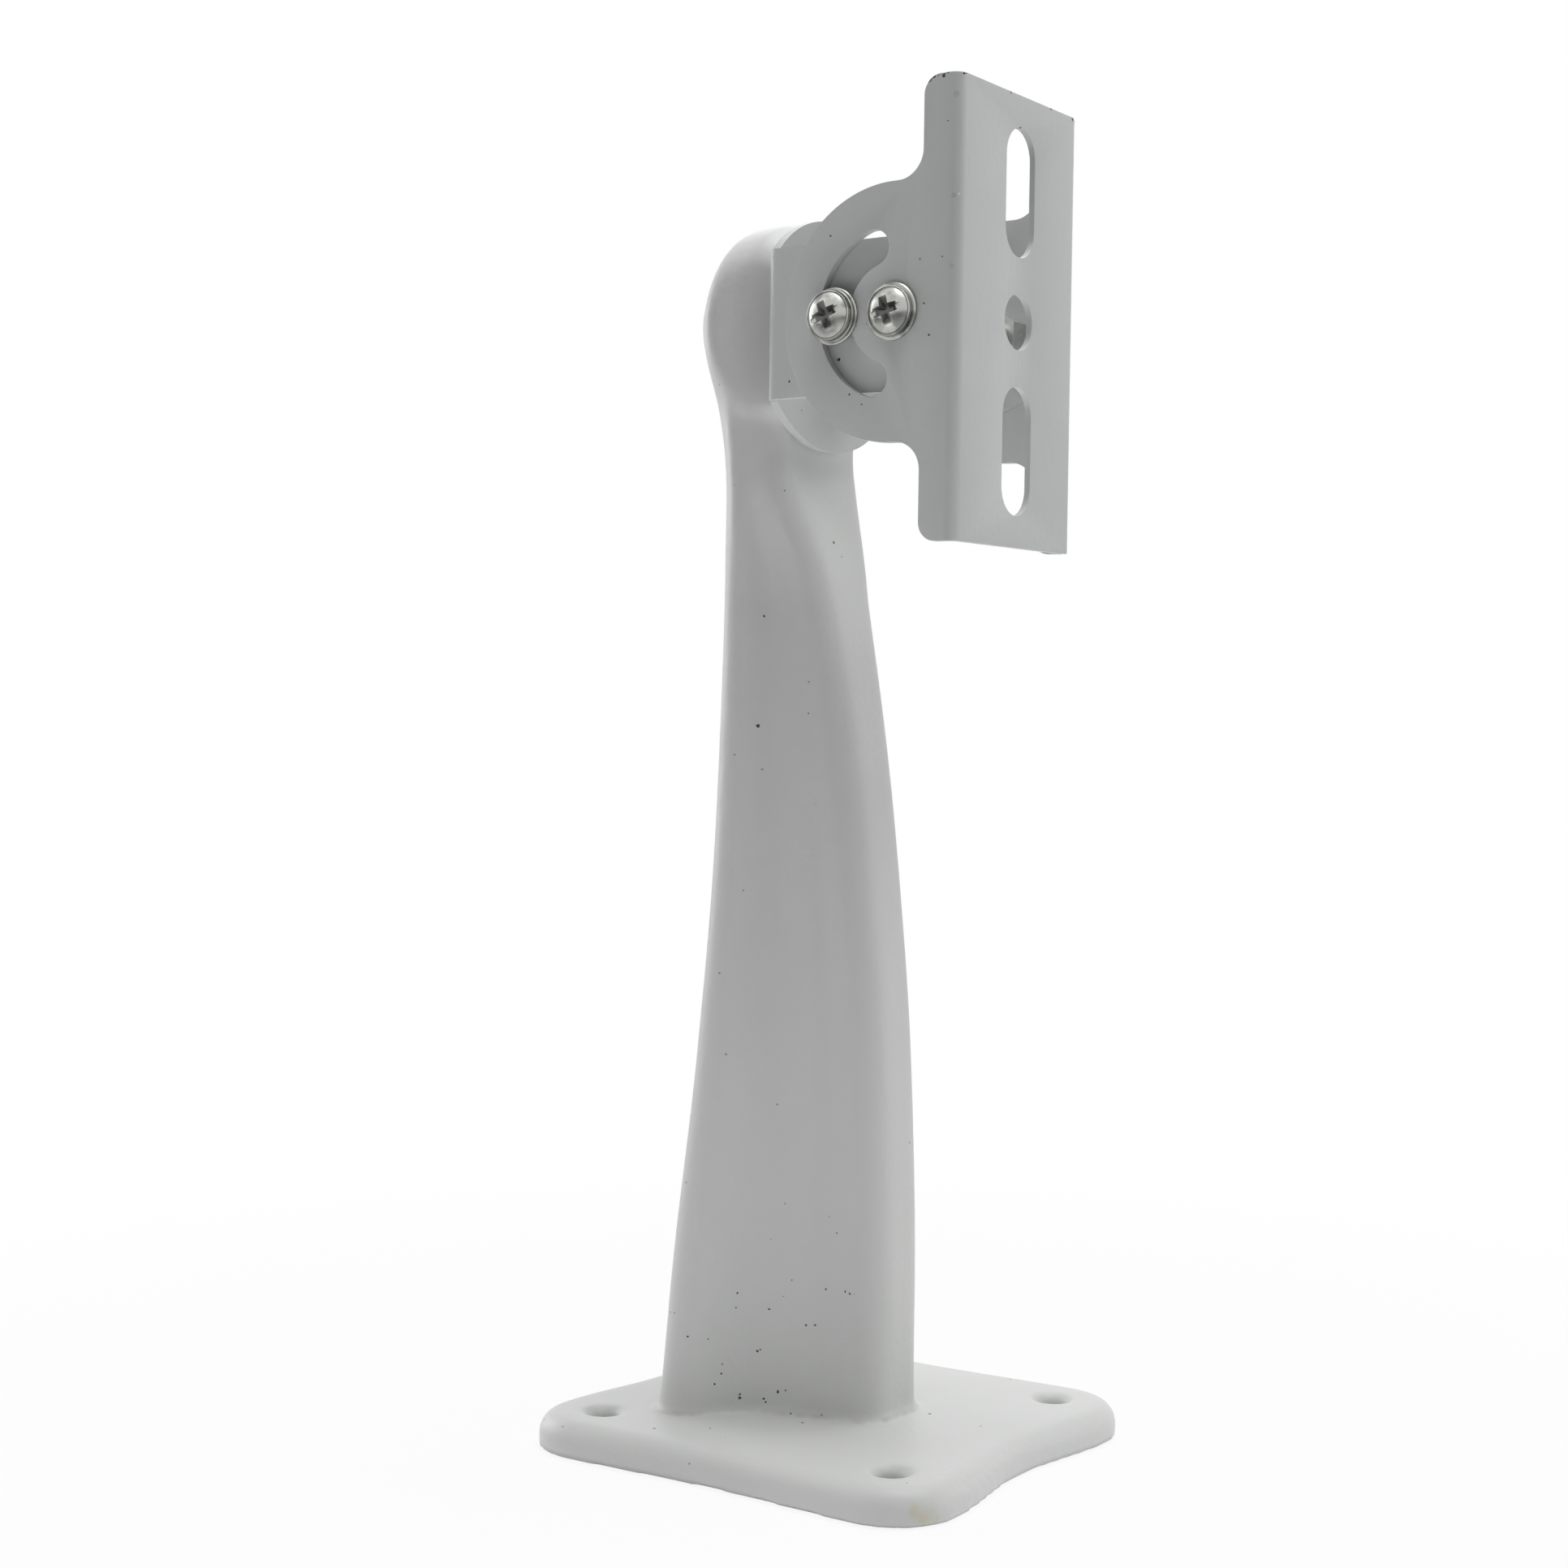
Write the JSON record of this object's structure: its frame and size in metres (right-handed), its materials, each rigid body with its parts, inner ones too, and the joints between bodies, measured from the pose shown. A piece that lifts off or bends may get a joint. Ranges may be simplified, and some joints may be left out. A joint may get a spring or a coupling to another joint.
{
  "type": "camera wall bracket",
  "caption": "White camera wall bracket with a cast arm on a screwed base, a yoke that turns on the arm's head and a slotted camera plate that tilts in the yoke.",
  "frame": {"origin": "middle of the base's wall side", "axes": "+Z along the arm away from the wall, +X the way the camera plate faces, Y across the bracket"},
  "size_m": [0.0766, 0.0712, 0.2154],
  "materials": {
    "white_casting": "satin",
    "white_sheet": "satin",
    "zinc_steel": "satin"
  },
  "bodies": {
    "arm": {"arm_casting": "white_casting", "swivel_nut": "zinc_steel", "swivel_back_washer": "zinc_steel"},
    "yoke": {"yoke": "white_sheet", "swivel_flat_washer": "zinc_steel", "swivel_spring_washer": "zinc_steel", "swivel_bolt": "zinc_steel", "pivot_flat_washer_left": "zinc_steel", "pivot_screw_left": "zinc_steel", "pivot_nut_left": "zinc_steel", "lock_flat_washer_left": "zinc_steel", "lock_spring_washer_left": "zinc_steel", "lock_screw_left": "zinc_steel", "lock_nut_left": "zinc_steel", "pivot_flat_washer_right": "zinc_steel", "pivot_screw_right": "zinc_steel", "pivot_nut_right": "zinc_steel", "lock_flat_washer_right": "zinc_steel", "lock_spring_washer_right": "zinc_steel", "lock_screw_right": "zinc_steel", "lock_nut_right": "zinc_steel"},
    "camera_plate": {"camera_plate": "white_sheet"}
  },
  "joints": [
    {"name": "swivel", "type": "hinge", "parent": "arm", "child": "yoke", "pos_m": [-0.0041, 0, 0.1804], "axis": [1, 0, 0], "continuous": true},
    {"name": "tilt", "type": "hinge", "parent": "yoke", "child": "camera_plate", "pos_m": [0.0204, 0, 0.1804], "axis": [0, 1, 0], "range_deg": [-45, 45]}
  ]
}
